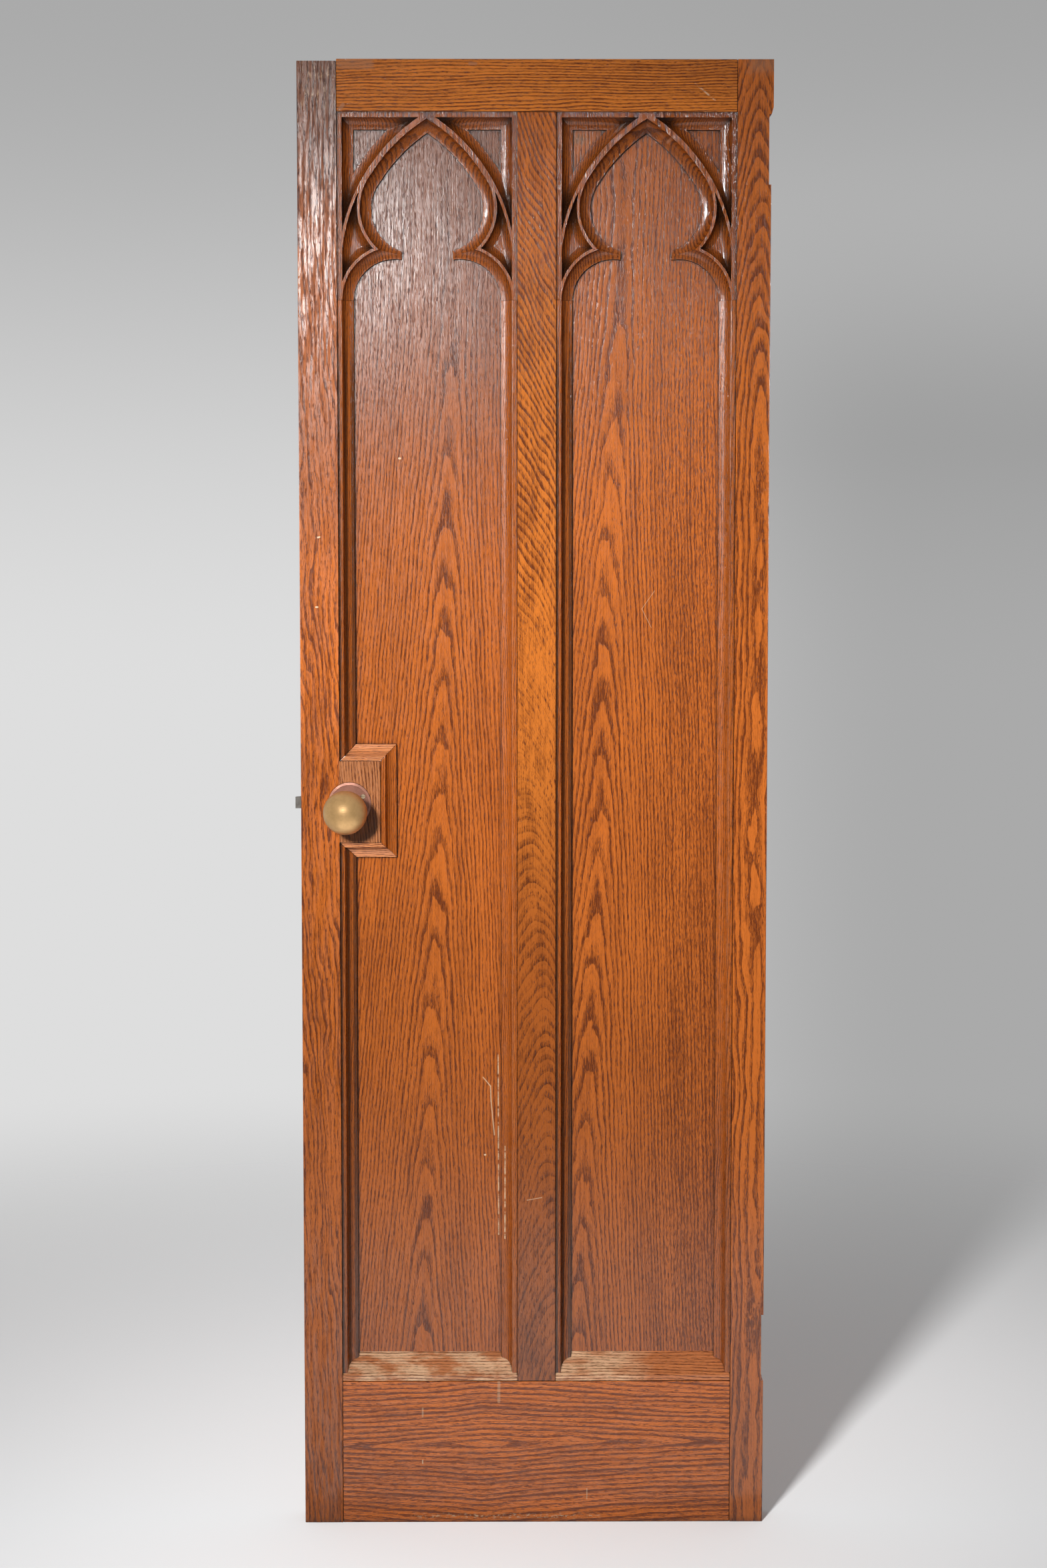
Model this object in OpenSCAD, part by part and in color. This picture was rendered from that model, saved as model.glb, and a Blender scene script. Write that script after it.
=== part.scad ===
// Carved oak door leaf: two tall panels under pointed, cusped tracery heads,
// a lock block beside the lock stile, and a knob-worked mortise latch.
// Millimetres. Origin at the middle of the bottom edge, +Z up, carved face towards -Y,
// lock edge towards -X and hanging edge towards +X.

/* [Leaf] */
// Overall width, measured at the full-width horn of the hanging stile
leaf_w = 610; // [580:1:680]
// Overall height
leaf_h = 1915; // [1700:1:2200]
// Thickness of stiles and rails
leaf_t = 44; // [42:0.5:50]
// Chamfer that eases the outer long edges
edge_ease = 1; // [0.4:0.1:2]
// Open joint left between a shoulder and the piece it meets
joint_gap = 0.4; // [0.1:0.1:0.8]

/* [Stiles and rails] */
// Width of the lock stile
lock_stile_w = 50; // [46:0.5:60]
// Width of the hanging stile at its horn
hanging_stile_w = 46; // [42:0.5:60]
// Width planed off the hanging edge below the horn
edge_planed = 2.5; // [1:0.1:5]
// Height of the slope under the horn
horn_slope = 9; // [4:0.5:16]
// How far the top of the lock stile stops short of the top rail
lock_stile_short = 2.6; // [0:0.1:6]
// Height of the top rail
top_rail_h = 66; // [60:0.5:90]
// Height of the bottom rail
bottom_rail_h = 191; // [150:1:240]
// Width of the middle muntin
muntin_w = 50; // [44:0.5:60]
// Thickness of every tenon
tenon_t = 12; // [10:0.5:14]
// Length of the rail tenons
tenon_l = 30; // [20:1:36]
// Height of wood left above and below a rail tenon
tenon_margin = 18; // [14:1:22]
// Length of the muntin tenons
muntin_tenon_l = 28; // [20:1:32]
// Wood left beside a muntin tenon
muntin_tenon_margin = 10; // [8.5:0.5:14]

/* [Panels] */
// Thickness of the flat panels
panel_t = 9; // [6:0.5:11]
// Depth from the carved face to the panel
front_recess = 23; // [21:0.5:26]
// Depth of the panel groove
groove_d = 8; // [6:0.5:8]
// How far the panel enters its groove
panel_tongue = 7; // [4:0.5:7.5]

/* [Carved mouldings] */
// Flat fillet along the outer edge
fillet_w = 7; // [5:0.25:9]
// Radius of the cavetto hollow
cove_r = 14; // [10:0.25:15]
// Height of the mouldings above the panel
moulding_h = 20; // [18:0.25:20.5]

/* [Tracery] */
// Radius of the pointed arch at the middle of its fillet
arch_r = 228; // [220:1:240]
// Reach of the arch past the side fillet at its springing
arch_lap = 1.25; // [0.8:0.05:2]
// How far the arch point dips below the top fillet
apex_dip = 1.5; // [0.5:0.1:3]
// Radius of the upper foil at the panel
foil_r = 56.5; // [52:0.5:60]
// Slope of the line on which the foil leaves the arch, in degrees
foil_slope = 30.5; // [28:0.5:33]
// How far the foil is carved past the line of the arch there
foil_bite = 0.4; // [0.3:0.05:0.8]
// Radius of the lower lobe at the panel
lobe_r = 53; // [50:0.5:55]
// Depth of the lobe centre below the arch springing
lobe_drop = 38.5; // [35:0.5:41]
// Gap between the blunt ends of the two cusps
cusp_gap = 66; // [56:1:74]
// Width of the fillet where two members have parted
split_fillet_w = 3.8; // [3.6:0.1:4.4]
// Height of the floor of the sunk eye above the panel
eye_floor = 6.5; // [6.5:0.5:12]
// Turn of the foil at which the narrow point of the eye ends, in degrees
eye_tip_turn = 16; // [14:0.5:20]

/* [Sills] */
// Upright front edge of the sloped sill
sill_front_h = 8; // [5:0.5:12]
// Height of the sill at the panel
sill_back_h = 34.5; // [26:0.5:40]
// Depth of the sill edge behind the carved face
sill_set = 1; // [0.5:0.1:2.5]

/* [Lock block] */
// Width of the block
block_w = 53; // [50:0.5:60]
// Wood of the block above and below the lock case
block_margin = 13; // [11:0.5:30]
// Height of the middle of the block
block_z = 962.5; // [850:0.5:1100]

/* [Back mouldings] */
// Flat fillet of the plain back moulding
back_fillet_w = 4; // [2:0.25:8]
// Radius of its hollow
back_cove_r = 8; // [5:0.25:9]
// Depth of the back moulding behind the back face
back_set = 2; // [1:0.25:3]

/* [Hinge gains] */
// Height of each gain
gain_h = 89; // [76:1:102]
// Depth of each gain
gain_d = 3; // [2:0.25:4]
// Wood left behind the gain at the back face
gain_lip = 7; // [4:0.5:10]
// Top of the upper gain below the top of the leaf
gain_top_drop = 69; // [60:1:120]
// Bottom of the lower gain above the bottom of the leaf
gain_bottom_rise = 191; // [150:1:300]
// Radius of the hinge screw holes
gain_hole_r = 1.75; // [1.25:0.25:2.25]
// Depth of the hinge screw holes
gain_hole_depth = 26; // [20:1:30]
// Spacing of the outer pair of holes
gain_outer_pitch = 66; // [60:1:72]
// Spacing of the inner pair of holes
gain_inner_pitch = 26; // [20:1:36]
// Distance between the two rows of holes
gain_row_pitch = 16; // [12:1:20]

/* [Latch lock] */
// Distance from the lock edge to the spindle
backset = 60; // [57:0.5:70]
// Height of the spindle
spindle_z = 953; // [940:0.5:956]
// Height of the latch bolt above the spindle
latch_rise = 7.3; // [7:0.1:8]
// Depth of the lock case behind its front plate
case_d = 86; // [84:0.5:92]
// Height of the lock case
case_h = 80; // [70:1:86]
// Thickness of the lock case
case_t = 16; // [15:0.5:18]
// Wall of the lock case
case_wall = 1.5; // [1:0.1:2]
// Clearance of the lock case in its mortise
case_fit = 0.3; // [0.1:0.1:0.8]
// Width of the front plate
plate_w = 24; // [20:0.5:28]
// Reach of the front plate past each end of the lock case
plate_end = 16; // [14:0.5:24]
// Thickness of the front plate
plate_t = 3; // [2:0.25:4]
// How far the latch bolt stands out
latch_out = 8.3; // [6:0.1:8.4]
// Height of the latch bolt
latch_h = 15; // [13:0.5:16]
// Running clearance round the latch bolt
latch_fit = 0.2; // [0.1:0.05:0.3]
// Width of the flat left on the tip of the bolt
latch_tip_flat = 3; // [2:0.25:5]
// Radius of the hub
hub_r = 7.5; // [7:0.25:9]
// Running clearance of the hub in the case
hub_fit = 0.06; // [0.03:0.01:0.1]
// Length of the hub arm from the axis
hub_arm_l = 14; // [13:0.25:16]
// Width of the hub arm
hub_arm_w = 6; // [4:0.5:7]
// Thickness of the hub arm
hub_arm_t = 5; // [3:0.5:6]
// Clearance between the hub arm and the hook of the bolt
arm_fit = 0.3; // [0.2:0.05:0.5]
// Height of the strap of the bolt
strap_h = 4; // [3:0.25:5]
// Clearance of the strap over the end of the hub arm
strap_fit = 1; // [0.6:0.1:1.5]
// Width of the hook of the bolt
hook_w = 5; // [4:0.25:6]
// Clearance of the hook over the hub
hook_fit = 0.7; // [0.4:0.1:1]
// Length of the bolt's root inside the case
bolt_root = 11.5; // [10:0.5:14]
// Mean radius of the latch spring
spring_r = 3.2; // [3:0.1:3.6]
// Wire thickness of the latch spring
spring_wire = 0.9; // [0.6:0.05:1.1]
// Turns of the latch spring
spring_turns = 7; // [5:1:8]
// Length of the peg that the latch spring sits on
spring_seat_l = 8; // [5:0.5:9]
// Clearance of the latch spring on its peg
spring_seat_fit = 0.4; // [0.2:0.1:0.6]
// Distance of the front plate's screws from its ends
plate_screw_inset = 8; // [6:0.5:12]
// Clearance of the hub in the bore through the wood
bore_fit = 1; // [0.5:0.1:2]

/* [Knobs] */
// Diameter of the knob
knob_d = 57; // [50:0.5:60]
// Depth of the knob from back to front
knob_depth = 47; // [40:0.5:52]
// Distance of the knob centre from the door face
knob_stand = 52; // [46:0.5:60]
// Radius of the knob shank
shank_r = 7.5; // [7:0.1:8]
// Radius of the turned collar of the shank
collar_r = 11; // [9:0.25:12]
// Length of the turned collar
collar_l = 5; // [3:0.5:7]
// Gap between the shank and the door face
shank_gap = 0.4; // [0.3:0.1:1]
// Radius of the knob's set screw
set_screw_r = 1.5; // [1:0.1:2]
// Distance of the set screw from the door face
set_screw_out = 25; // [20:0.5:26]
// How far the set screw stops short of the square hole
set_screw_short = 0.2; // [0.1:0.05:0.4]
// Square of the spindle
spindle_w = 7; // [6:0.1:7.5]
// Clearance of the spindle in its square holes
spindle_fit = 0.1; // [0.05:0.05:0.2]
// How far the spindle end stops short of the knob centre
spindle_short = 4; // [0:0.5:10]
// Diameter of the rosette
rosette_d = 56; // [52:0.5:60]
// Height of the dome of the rosette
rosette_h = 6.5; // [5:0.25:8]
// Height of the rim of the rosette
rosette_rim_h = 2; // [1.5:0.1:2.5]
// Width of the rim of the rosette
rosette_rim_w = 3; // [2:0.25:4]
// Height of the bead on the inner side of the rim
rosette_bead_h = 0.6; // [0.2:0.1:1]
// Width of the ring round the hole of the rosette
rosette_ring_w = 1; // [0.6:0.1:2]
// Sideways slip of the front rosette from the spindle
rosette_slip_x = 3.2; // [0:0.1:3.5]
// Upward slip of the front rosette from the spindle
rosette_slip_z = 6.8; // [0:0.1:7]
// Radius of the hole in the rosette
rosette_hole_r = 15.5; // [15.2:0.1:16]

/* [Screws] */
// Radius of the rosette screws from the rosette centre
rosette_screw_r = 20.3; // [20:0.1:22]
// Direction of the rosette screws above the level, in degrees
rosette_screw_dir = 29.5; // [20:0.5:45]
// Radius of the screw heads
screw_head_r = 3; // [2.5:0.1:3.3]
// Height of the screw heads
screw_head_h = 1.6; // [1:0.1:2]
// Radius of the screw shanks
screw_shank_r = 1.6; // [1.2:0.1:1.9]
// Length of the screw shanks
screw_l = 12; // [9:0.5:12.5]
// Clearance of a screw in its hole
screw_fit = 0.1; // [0.05:0.05:0.2]
// Width of a screw slot
slot_w = 0.9; // [0.5:0.1:1.2]

/* [Hidden] */

$fn = 64;
// Facets of a full turn of the large arcs
arc_fn = 128;
// Overrun of a cutting body past the face that it cuts
over = 1;

// Colours
oak = [0.60, 0.33, 0.13];
oak_panel = [0.66, 0.38, 0.16];
oak_worn = [0.74, 0.52, 0.30];
brass = [0.55, 0.45, 0.26];
bronze = [0.40, 0.24, 0.17];
steel = [0.45, 0.45, 0.44];

// Planes across the leaf
y_front = -leaf_t / 2;
y_back = leaf_t / 2;
y_panel_front = y_front + front_recess;
y_panel_back = y_panel_front + panel_t;
y_tenon = (y_panel_front + y_panel_back - tenon_t) / 2;

// Planes along the width
x_lock_edge = -leaf_w / 2;
x_lock_in = x_lock_edge + lock_stile_w;
x_hanging_edge = leaf_w / 2;
x_hanging_planed = x_hanging_edge - edge_planed;
x_hanging_in = x_hanging_edge - hanging_stile_w;
opening_w = (x_hanging_in - x_lock_in - muntin_w) / 2;
x_muntin_left = x_lock_in + opening_w;
x_muntin_right = x_muntin_left + muntin_w;
x_left_mid = x_lock_in + opening_w / 2;
x_right_mid = x_muntin_right + opening_w / 2;

// Planes along the height
z_open_low = bottom_rail_h;
z_open_high = leaf_h - top_rail_h;
opening_h = z_open_high - z_open_low;
block_h = case_h + 2 * block_margin;
z_block_low = block_z - block_h / 2;
z_block_high = block_z + block_h / 2;
x_block_side = x_lock_in + block_w;
z_gain_high = leaf_h - gain_top_drop - gain_h;
gain_floor_x = x_hanging_planed - gain_d;
gain_mid_y = (y_front + y_back - gain_lip) / 2;

// Carved moulding
moulding_w = fillet_w + cove_r;

// Tracery, in a frame with its origin on the springing line under the apex
half_w = opening_w / 2;
split_lap = split_fillet_w - fillet_w / 2;
arch_c = arch_r - split_lap - (half_w - fillet_w + arch_lap);
arch_fillet_in = arch_r - fillet_w / 2;
arch_fillet_out = arch_r + fillet_w / 2;
apex_v = sqrt(pow(arch_fillet_in, 2) - pow(arch_c, 2));
tracery_top = apex_v + apex_dip + fillet_w;
foil_fillet = foil_r + cove_r;
foil_reach = arch_fillet_in - foil_fillet + foil_bite;
foil_u = arch_c - foil_reach * cos(foil_slope);
foil_v = foil_reach * sin(foil_slope);
// Turn of the line on which the foil leaves the arch, in degrees
foil_turn = 180 - foil_slope;
// Turn by which a round cut runs on past its end, into the next cut or clear of the board
cut_lap = 12;
arch_from = 90;
arch_to = 180 + cut_lap;
eye_foil_to = 270;
eye_lobe_from = 70;
eye_lobe_to = 200;
lobe_u = -(half_w - moulding_w - lobe_r);
lobe_fillet = lobe_r + cove_r;
tracery_low = -lobe_drop;
z_springing = z_open_high - tracery_top;
z_tracery_low = z_springing + tracery_low;

// Sill
sill_depth = front_recess - sill_set;

// Back moulding
back_recess = leaf_t - front_recess - panel_t;
back_moulding_h = back_recess - back_set;
back_moulding_w = back_fillet_w + back_cove_r;

// Latch lock
x_spindle = x_lock_edge + backset;
z_latch = spindle_z + latch_rise;
x_case = x_lock_edge + plate_t;
x_case_back = x_case + case_d;
z_case_low = z_latch - case_h / 2;
cavity_t = case_t - 2 * case_wall;
latch_t = cavity_t - 2 * latch_fit;
x_hook = x_spindle + hub_arm_w / 2 + arm_fit;
z_hook_low = spindle_z + hub_r + hook_fit;
z_strap_low = spindle_z + hub_arm_l + strap_fit;
z_strap_high = z_strap_low + strap_h;
spring_z = z_strap_high - spring_r - spring_wire / 2;
spring_x0 = x_hook + hook_w;
spring_x1 = x_case_back - case_wall;
plate_h = case_h + 2 * plate_end;
plate_screw_pitch = plate_h - 2 * plate_screw_inset;
plate_hole_r = screw_shank_r + screw_fit;

// Knobs
spindle_half = leaf_t / 2 + knob_stand - spindle_short;
square_hole = spindle_w + 2 * spindle_fit;
spindle_bore_r = hub_r + bore_fit;
set_screw_l = shank_r - square_hole / 2 - set_screw_short;

// Placing

// Puts a flat drawing (u right, v up, h outwards) on the carved side of the panels
module on_front(x, z) {
  translate([x, y_panel_front, z]) rotate([90, 0, 0]) children();
}

// Puts a flat drawing on the plain side of the panels
module on_back(x, z) {
  translate([x, y_panel_back, z]) rotate([90, 0, 0]) mirror([0, 0, 1]) children();
}

// A box between two opposite corners
module box(low, high) {
  translate(low) cube(high - low);
}

// A round bar along Y from y0 to y1
module bar_y(x, z, y0, y1, r) {
  translate([x, y1, z]) rotate([90, 0, 0]) cylinder(h = y1 - y0, r = r);
}

// A round bar along X from x0 to x1
module bar_x(x0, x1, y, z, r) {
  translate([x0, y, z]) rotate([0, 90, 0]) cylinder(h = x1 - x0, r = r);
}

// Mouldings

// Section of a cavetto moulding: fillet at the outer edge, hollow, upright drop to the panel
module cavetto_2d(width, radius, height) {
  difference() {
    square([width, height]);
    translate([width, height]) circle(r = radius);
  }
}

// A straight moulding along v; a mitre of 1 shortens the inner side, -1 lengthens it
module moulding(length, mitre_low, mitre_high, width, radius, height) {
  intersection() {
    translate([0, length + width, 0]) rotate([90, 0, 0])
      linear_extrude(height = length + 2 * width) cavetto_2d(width, radius, height);
    translate([0, 0, -over]) linear_extrude(height = height + 2 * over)
      polygon([
        [0, 0], [width, mitre_low * width],
        [width, length - mitre_high * width], [0, length]
      ]);
  }
}

module front_moulding(length, mitre_low, mitre_high) {
  moulding(length, mitre_low, mitre_high, moulding_w, cove_r, moulding_h);
}

module back_moulding(length, mitre_low, mitre_high) {
  moulding(length, mitre_low, mitre_high, back_moulding_w, back_cove_r, back_moulding_h);
}

// Sloped sill across an opening, in the flat frame with its origin at the lower left corner
module sill_body() {
  translate([opening_w, 0, 0]) rotate([0, -90, 0]) linear_extrude(height = opening_w)
    polygon([[0, 0], [sill_depth, 0], [sill_depth, sill_front_h], [0, sill_back_h]]);
}

// A front moulding that is scribed onto the sill, with its origin at the sill's corner
module scribed_moulding(length, mitre_high) {
  difference() {
    front_moulding(length, 0, mitre_high);
    translate([-opening_w / 2, 0, 0]) sill_body();
  }
}

// Tracery

// Section of a carved hollow; x runs from the fillet into the hollow, y is the height
module hollow_2d(reach, floor_h) {
  depth = moulding_h + over - floor_h;
  intersection() {
    union() {
      translate([cove_r, moulding_h]) circle(r = cove_r);
      translate([cove_r, floor_h]) square([reach - cove_r, depth]);
    }
    translate([-over, floor_h]) square([reach + over, depth]);
  }
}

// A hollow on the inner side of a round fillet
module hollow_inside(r, from, to, reach, floor_h) {
  rotate([0, 0, from]) rotate_extrude(angle = to - from, $fn = arc_fn)
    translate([r, 0]) mirror([1, 0]) hollow_2d(reach, floor_h);
}

// A hollow on the outer side of a round fillet
module hollow_outside(r, from, to, reach, floor_h) {
  rotate([0, 0, from]) rotate_extrude(angle = to - from, $fn = arc_fn)
    translate([r, 0]) hollow_2d(reach, floor_h);
}

// A hollow beside a straight fillet that runs along v
module hollow_straight(length, reach, floor_h) {
  translate([0, length, 0]) rotate([90, 0, 0])
    linear_extrude(height = length) hollow_2d(reach, floor_h);
}

// The pointed opening: arch side, upper foil, lower lobe and the gap between the cusps
module tracery_opening() {
  translate([arch_c, 0, 0])
    hollow_inside(arch_fillet_in, arch_from, foil_turn, arch_fillet_in - arch_c, -over);
  translate([foil_u, foil_v, 0])
    hollow_inside(foil_fillet, foil_turn - cut_lap, foil_turn + 180 + cut_lap, foil_fillet, -over);
  translate([lobe_u, tracery_low, 0])
    hollow_inside(lobe_fillet, -cut_lap, 180 + cut_lap, lobe_fillet, -over);
  box([-cusp_gap / 2, tracery_low - over, -over],
      [over, foil_v - foil_r / 2, moulding_h + over]);
}

// The small sunk eye between arch, foil, lobe and side
module tracery_eye() {
  reach = half_w;
  intersection() {
    translate([arch_c, 0, 0])
      hollow_inside(arch_r - split_lap, foil_turn, arch_to, reach, eye_floor);
    translate([-half_w + fillet_w, tracery_low, 0])
      hollow_straight(tracery_top - tracery_low, reach, eye_floor);
    translate([foil_u, foil_v, 0])
      hollow_outside(foil_fillet + split_fillet_w, foil_turn + eye_tip_turn, eye_foil_to, reach, eye_floor);
    translate([lobe_u, tracery_low, 0])
      hollow_outside(lobe_fillet + split_fillet_w, eye_lobe_from, eye_lobe_to, reach, eye_floor);
  }
}

// The pierced spandrel in the upper corner
module tracery_spandrel() {
  reach = tracery_top;
  intersection() {
    translate([-half_w + fillet_w, -over, 0])
      hollow_straight(tracery_top + 2 * over, reach, -over);
    translate([-half_w - over, tracery_top - fillet_w, 0]) rotate([0, 0, -90])
      hollow_straight(half_w + 2 * over, reach, -over);
    translate([arch_c, 0, 0])
      hollow_outside(arch_fillet_out, arch_from, arch_to, reach, -over);
  }
}

// One half of a tracery head, carved from a single board
module tracery_half() {
  difference() {
    box([-half_w, tracery_low, 0], [0, tracery_top, moulding_h]);
    tracery_opening();
    tracery_eye();
    tracery_spandrel();
  }
}

module tracery_left(x) {
  color(oak) on_front(x, z_springing) tracery_half();
}

module tracery_right(x) {
  color(oak) on_front(x, z_springing) mirror([1, 0, 0]) tracery_half();
}

// Frame members

// A stile between its inner edge and its eased outer edge
module stile_bar(x_in, x_out, height) {
  eased = x_out + (x_out < x_in ? edge_ease : -edge_ease);
  linear_extrude(height = height) polygon([
    [x_in, y_front], [eased, y_front], [x_out, y_front + edge_ease],
    [x_out, y_back - edge_ease], [eased, y_back], [x_in, y_back]
  ]);
}

// Space for a rail tenon in a stile, or the tenon itself
module rail_tenons(z0, z1) {
  for (x = [x_lock_in - tenon_l, x_hanging_in])
    box([x, y_tenon, z0], [x + tenon_l, y_tenon + tenon_t, z1]);
}

module top_tenons() {
  rail_tenons(z_open_high + tenon_margin, leaf_h - tenon_margin);
}

module bottom_tenons() {
  rail_tenons(tenon_margin, z_open_low - tenon_margin);
}

// Tenons of the muntin, which fill their mortises in the rails
module muntin_tenons() {
  for (z = [z_open_low - muntin_tenon_l, z_open_high])
    box([x_muntin_left + muntin_tenon_margin, y_tenon, z],
        [x_muntin_right - muntin_tenon_margin, y_tenon + tenon_t, z + muntin_tenon_l]);
}

// Panel grooves all round one opening, from its edge x0 to its edge x1
module panel_groove(x0, x1) {
  box([x0 - groove_d, y_panel_front, z_open_low - groove_d],
      [x1 + groove_d, y_panel_back, z_open_high + groove_d]);
}

module left_groove() {
  panel_groove(x_lock_in, x_muntin_left);
}

module right_groove() {
  panel_groove(x_muntin_right, x_hanging_in);
}

// Mortise for the lock case, cut in from the lock edge
module lock_mortise() {
  box([x_lock_edge - over, -case_t / 2 - case_fit, z_case_low - case_fit],
      [x_case_back + case_fit, case_t / 2 + case_fit, z_case_low + case_h + case_fit]);
  box([x_lock_edge - over, -plate_w / 2, z_latch - plate_h / 2],
      [x_case, plate_w / 2, z_latch + plate_h / 2]);
}

// Holes for the rosette screws on one face, with s the outward direction of that face
module rosette_screw_holes(s, x, z) {
  at_rosette_screws(x, z) bar_y(0, 0,
    s < 0 ? y_front - over : y_back - screw_l - over,
    s < 0 ? y_front + screw_l + over : y_back + over, screw_shank_r + screw_fit);
}

// Repeats its children at the two screws of a rosette
module at_rosette_screws(x, z) {
  for (turn = [0, 180])
    translate([x + rosette_screw_r * cos(rosette_screw_dir + turn), 0,
               z + rosette_screw_r * sin(rosette_screw_dir + turn)]) children();
}

// Everything that the lock fittings need cut out of the wood
module lock_cuts() {
  lock_mortise();
  bar_y(x_spindle, spindle_z, y_front - over, y_back + over, spindle_bore_r);
  rosette_screw_holes(-1, x_spindle + rosette_slip_x, spindle_z + rosette_slip_z);
  rosette_screw_holes(1, x_spindle, spindle_z);
  for (z = [-1, 1])
    bar_x(x_lock_edge, x_case + screw_l + over, 0, z_latch + z * plate_screw_pitch / 2, plate_hole_r);
}

// One hinge gain with its screw holes, its lower end at z
module hinge_gain(z) {
  box([gain_floor_x, y_front - over, z], [x_hanging_edge + over, y_back - gain_lip, z + gain_h]);
  for (row = [[-1, gain_outer_pitch], [1, gain_inner_pitch]], s = [-1, 1])
    bar_x(gain_floor_x - gain_hole_depth, gain_floor_x + over,
          gain_mid_y + row[0] * gain_row_pitch / 2, z + gain_h / 2 + s * row[1] / 2, gain_hole_r);
}

module lock_stile() {
  color(oak) difference() {
    stile_bar(x_lock_in, x_lock_edge, leaf_h - lock_stile_short);
    left_groove();
    top_tenons();
    bottom_tenons();
    lock_cuts();
  }
}

// The hanging stile keeps its full width only in a horn above the upper gain
module hanging_stile() {
  horn_low = z_gain_high + gain_h;
  color(oak) difference() {
    union() {
      stile_bar(x_hanging_in, x_hanging_planed, horn_low + over);
      translate([0, y_back, 0]) rotate([90, 0, 0]) linear_extrude(height = leaf_t)
        polygon([
          [x_hanging_in, horn_low], [x_hanging_planed, horn_low],
          [x_hanging_edge, horn_low + horn_slope], [x_hanging_edge, leaf_h], [x_hanging_in, leaf_h]
        ]);
    }
    right_groove();
    top_tenons();
    bottom_tenons();
    hinge_gain(z_gain_high);
    hinge_gain(gain_bottom_rise);
  }
}

module top_rail() {
  color(oak) difference() {
    union() {
      box([x_lock_in + joint_gap, y_front, z_open_high], [x_hanging_in - joint_gap, y_back, leaf_h]);
      top_tenons();
      rail_core(z_open_high + tenon_margin, leaf_h - tenon_margin);
    }
    left_groove();
    right_groove();
    muntin_tenons();
  }
}

// Ties the tenons to the rail across the open shoulder joint
module rail_core(z0, z1) {
  box([x_lock_in - over, y_tenon, z0], [x_hanging_in + over, y_tenon + tenon_t, z1]);
}

module bottom_rail() {
  color(oak) difference() {
    union() {
      box([x_lock_in + joint_gap, y_front, 0], [x_hanging_in - joint_gap, y_back, z_open_low]);
      bottom_tenons();
      rail_core(tenon_margin, z_open_low - tenon_margin);
    }
    left_groove();
    right_groove();
    muntin_tenons();
  }
}

module muntin() {
  color(oak) difference() {
    union() {
      box([x_muntin_left, y_front, z_open_low + joint_gap], [x_muntin_right, y_back, z_open_high - joint_gap]);
      muntin_tenons();
      box([x_muntin_left + muntin_tenon_margin, y_tenon, z_open_low - over],
          [x_muntin_right - muntin_tenon_margin, y_tenon + tenon_t, z_open_high + over]);
    }
    left_groove();
    right_groove();
  }
}

// Panels

// A panel for the opening between the edges x0 and x1
module panel_board(x0, x1) {
  box([x0 - panel_tongue, y_panel_front, z_open_low - panel_tongue],
      [x1 + panel_tongue, y_panel_back, z_open_high + panel_tongue]);
}

module left_panel() {
  color(oak_panel) difference() {
    panel_board(x_lock_in, x_muntin_left);
    box([x_lock_in - groove_d, y_panel_front - over, z_block_low + panel_tongue],
        [x_block_side - panel_tongue, y_panel_back + over, z_block_high - panel_tongue]);
  }
}

module right_panel() {
  color(oak_panel) panel_board(x_muntin_right, x_hanging_in);
}

// The block is grooved round three sides for the panel and tongued into the stile
module lock_block() {
  tongue_inset = groove_d;
  color(oak) difference() {
    union() {
      box([x_lock_in, y_front, z_block_low], [x_block_side, y_back, z_block_high]);
      box([x_lock_in - panel_tongue, y_panel_front, z_block_low + tongue_inset],
          [x_lock_in + over, y_panel_back, z_block_high - tongue_inset]);
    }
    difference() {
      box([x_lock_in - groove_d, y_panel_front, z_block_low - over],
          [x_block_side + over, y_panel_back, z_block_high + over]);
      box([x_lock_in - groove_d - over, y_panel_front - over, z_block_low + groove_d],
          [x_block_side - groove_d, y_panel_back + over, z_block_high - groove_d]);
    }
    lock_cuts();
  }
}

// Front mouldings

module left_tracery_lock_half() { tracery_left(x_left_mid); }

module left_tracery_muntin_half() { tracery_right(x_left_mid); }

module right_tracery_muntin_half() { tracery_left(x_right_mid); }

module right_tracery_hanging_half() { tracery_right(x_right_mid); }

module left_moulding_above_lock() {
  color(oak) on_front(x_lock_in, z_block_high)
    front_moulding(z_tracery_low - z_block_high, 1, 0);
}

module left_moulding_below_lock() {
  color(oak) on_front(x_lock_in, z_open_low)
    scribed_moulding(z_block_low - z_open_low, 1);
}

module left_moulding_muntin() {
  color(oak) on_front(x_muntin_left, z_open_low) mirror([1, 0, 0])
    scribed_moulding(z_tracery_low - z_open_low, 0);
}

module right_moulding_muntin() {
  color(oak) on_front(x_muntin_right, z_open_low)
    scribed_moulding(z_tracery_low - z_open_low, 0);
}

module right_moulding_hanging() {
  color(oak) on_front(x_hanging_in, z_open_low) mirror([1, 0, 0])
    scribed_moulding(z_tracery_low - z_open_low, 0);
}

module left_sill() {
  color(oak_worn) on_front(x_lock_in, z_open_low) sill_body();
}

module right_sill() {
  color(oak_worn) on_front(x_muntin_right, z_open_low) sill_body();
}

module block_moulding_top() {
  color(oak) on_front(x_block_side, z_block_high) rotate([0, 0, 90])
    front_moulding(block_w, -1, 1);
}

module block_moulding_side() {
  color(oak) on_front(x_block_side, z_block_low)
    front_moulding(block_h, -1, -1);
}

module block_moulding_bottom() {
  color(oak) on_front(x_lock_in, z_block_low) rotate([0, 0, -90])
    front_moulding(block_w, 1, -1);
}

// Back mouldings

module back_left_top() {
  color(oak) on_back(x_lock_in, z_open_high) rotate([0, 0, -90])
    back_moulding(opening_w, 1, 1);
}

module back_left_muntin() {
  color(oak) on_back(x_muntin_left, z_open_high) rotate([0, 0, 180])
    back_moulding(opening_h, 1, 1);
}

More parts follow.
